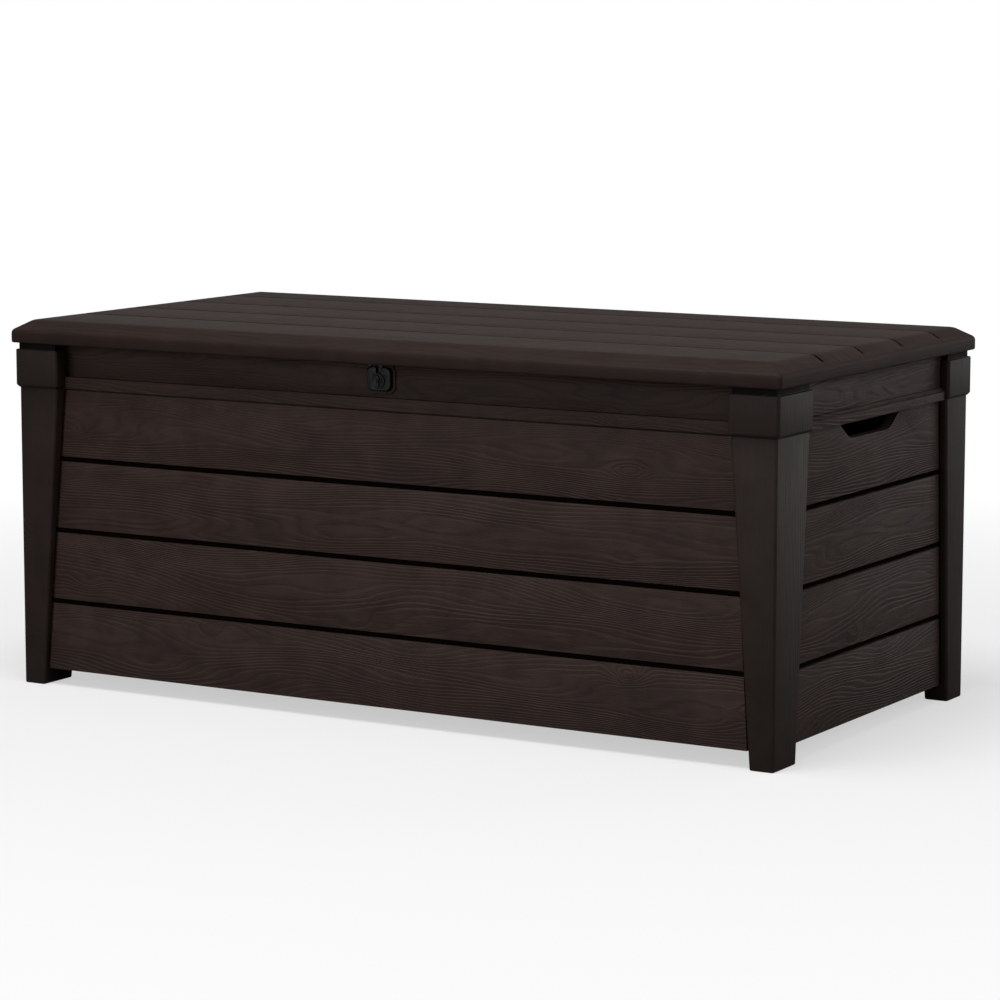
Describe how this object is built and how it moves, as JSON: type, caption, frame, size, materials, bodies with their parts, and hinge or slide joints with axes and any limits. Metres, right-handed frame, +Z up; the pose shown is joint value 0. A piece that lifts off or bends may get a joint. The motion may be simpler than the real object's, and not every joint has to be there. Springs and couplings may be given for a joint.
{
  "type": "deck storage box",
  "caption": "Resin outdoor storage chest on tapered corner posts, with slatted walls, a hinged slatted lid held by gas struts, end hand-holds and a twist lock.",
  "frame": {"origin": "centre of the footprint on the ground", "axes": "+X along the length to the right as seen from the front, -Y to the front with the lock, +Z up"},
  "size_m": [1.45, 0.733, 0.624],
  "materials": {
    "brown_resin": "matt, embossed wood grain",
    "lid_resin": "matt, embossed wood grain",
    "black_plastic": "satin",
    "zinc_steel": "zinc plated",
    "black_steel": "gloss black paint",
    "chrome_rod": "hard chrome"
  },
  "bodies": {
    "box": {"floor_panel": "brown_resin", "front_wall": "brown_resin", "back_wall": "brown_resin", "right_wall": "brown_resin", "left_wall": "brown_resin", "corner_post_front_left": "brown_resin", "corner_cap_front_left": "brown_resin", "corner_post_front_right": "brown_resin", "corner_cap_front_right": "brown_resin", "corner_post_back_left": "brown_resin", "corner_cap_back_left": "brown_resin", "corner_post_back_right": "brown_resin", "corner_cap_back_right": "brown_resin", "hinge_pin_left": "zinc_steel", "hinge_pin_centre": "zinc_steel", "hinge_pin_right": "zinc_steel", "lock_case": "black_plastic", "lock_backplate": "black_plastic", "lock_screw_lower": "zinc_steel", "lock_screw_upper": "zinc_steel", "strut_wall_bracket_left": "zinc_steel", "strut_wall_screw_left_lower": "zinc_steel", "strut_wall_screw_left_upper": "zinc_steel", "strut_wall_bracket_right": "zinc_steel", "strut_wall_screw_right_lower": "zinc_steel", "strut_wall_screw_right_upper": "zinc_steel"},
    "lock_barrel": {"lock_knob": "black_plastic", "lock_cam": "zinc_steel"},
    "lid": {"lid_top": "lid_resin", "lid_liner": "lid_resin", "lid_bar_front": "zinc_steel", "lid_bar_back": "zinc_steel", "lock_tongue": "zinc_steel", "tongue_screw_left": "zinc_steel", "tongue_screw_right": "zinc_steel", "strut_lid_bracket_left": "zinc_steel", "strut_lid_screw_left_front": "zinc_steel", "strut_lid_screw_left_back": "zinc_steel", "strut_lid_bracket_right": "zinc_steel", "strut_lid_screw_right_front": "zinc_steel", "strut_lid_screw_right_back": "zinc_steel"},
    "strut_cylinder_left": {"strut_lower_socket_left": "black_plastic", "strut_tube_left": "black_steel"},
    "strut_piston_left": {"strut_rod_left": "chrome_rod", "strut_upper_socket_left": "black_plastic"},
    "strut_cylinder_right": {"strut_lower_socket_right": "black_plastic", "strut_tube_right": "black_steel"},
    "strut_piston_right": {"strut_rod_right": "chrome_rod", "strut_upper_socket_right": "black_plastic"}
  },
  "joints": [
    {"name": "lid_hinge", "type": "hinge", "parent": "box", "child": "lid", "pos_m": [0, 0.3535, 0.574], "axis": [-1, 0, 0], "range_deg": [0, 95]},
    {"name": "lock_turn", "type": "hinge", "parent": "box", "child": "lock_barrel", "pos_m": [-0.008, -0.323, 0.5555], "axis": [0, -1, 0], "range_deg": [0, 90]},
    {"name": "strut_swing_left", "type": "hinge", "parent": "box", "child": "strut_cylinder_left", "pos_m": [-0.676, 0.1065, 0.354], "axis": [-1, 0, 0], "range_deg": [0, 2.2]},
    {"name": "strut_extend_left", "type": "slide", "parent": "strut_cylinder_left", "child": "strut_piston_left", "axis": [0, 0.5988, 0.8009], "range_m": [0, 0.12801]},
    {"name": "strut_swing_right", "type": "hinge", "parent": "box", "child": "strut_cylinder_right", "pos_m": [0.676, 0.1065, 0.354], "axis": [-1, 0, 0], "range_deg": [0, 2.2]},
    {"name": "strut_extend_right", "type": "slide", "parent": "strut_cylinder_right", "child": "strut_piston_right", "axis": [0, 0.5988, 0.8009], "range_m": [0, 0.12801]}
  ],
  "couplings": [
    {"joint": "strut_swing_left", "follows": "lid_hinge", "ratio": 0.023143},
    {"joint": "strut_extend_left", "follows": "lid_hinge", "m_per_rad": 0.07719},
    {"joint": "strut_swing_right", "follows": "lid_hinge", "ratio": 0.023143},
    {"joint": "strut_extend_right", "follows": "lid_hinge", "m_per_rad": 0.07719}
  ]
}
